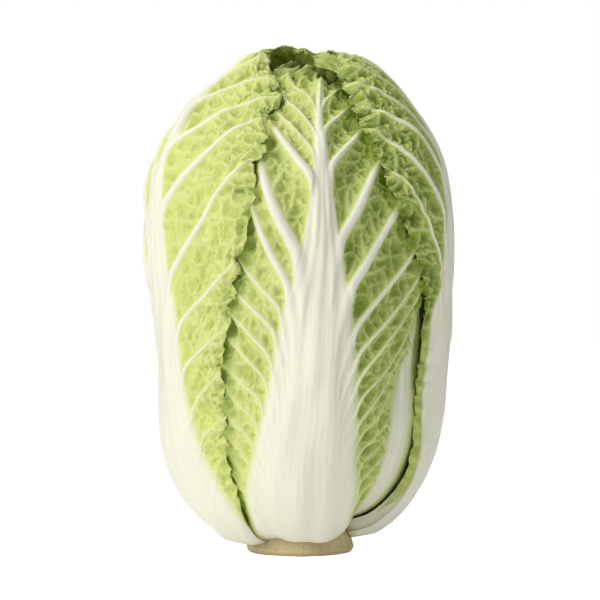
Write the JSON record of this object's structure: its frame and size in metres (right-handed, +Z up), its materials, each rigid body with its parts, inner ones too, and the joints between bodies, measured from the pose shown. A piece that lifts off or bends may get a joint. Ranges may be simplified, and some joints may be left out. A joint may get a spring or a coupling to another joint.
{
  "type": "napa cabbage",
  "caption": "Upright barrel-shaped head of napa cabbage: crinkled leaves with broad pale ribs overlap round a tight heart on a cut stem that it stands on.",
  "frame": {"origin": "centre of the cut face that the head stands on", "axes": "+Z up along the head from the cut stem to the leaf tips; -Y is the front, the side with one whole leaf facing the viewer"},
  "size_m": [0.1706, 0.1642, 0.2827],
  "materials": {
    "outer_leaf": "moist satin leaf, pale green blade on white ribs",
    "inner_leaf": "moist satin leaf, pale yellow",
    "heart": "moist satin, tight pale yellow bud",
    "stem": "dry cut face, tan"
  },
  "bodies": {
    "root": {"leaf_01_right": "outer_leaf", "leaf_02_left": "outer_leaf", "leaf_03_back_right": "outer_leaf", "leaf_04_front": "outer_leaf", "leaf_05_back_left": "outer_leaf", "leaf_06_right": "outer_leaf", "leaf_07_left": "outer_leaf", "leaf_08_back_right": "outer_leaf", "leaf_09_front": "outer_leaf", "leaf_10_back_left": "outer_leaf", "leaf_11_inner": "inner_leaf", "leaf_12_inner": "inner_leaf", "leaf_13_inner": "inner_leaf", "leaf_14_inner": "inner_leaf", "leaf_15_inner": "inner_leaf", "leaf_16_inner": "inner_leaf", "leaf_17_inner": "inner_leaf", "leaf_18_inner": "inner_leaf", "leaf_19_inner": "inner_leaf", "leaf_20_inner": "inner_leaf", "heart": "heart", "stem": "stem"}
  },
  "joints": []
}
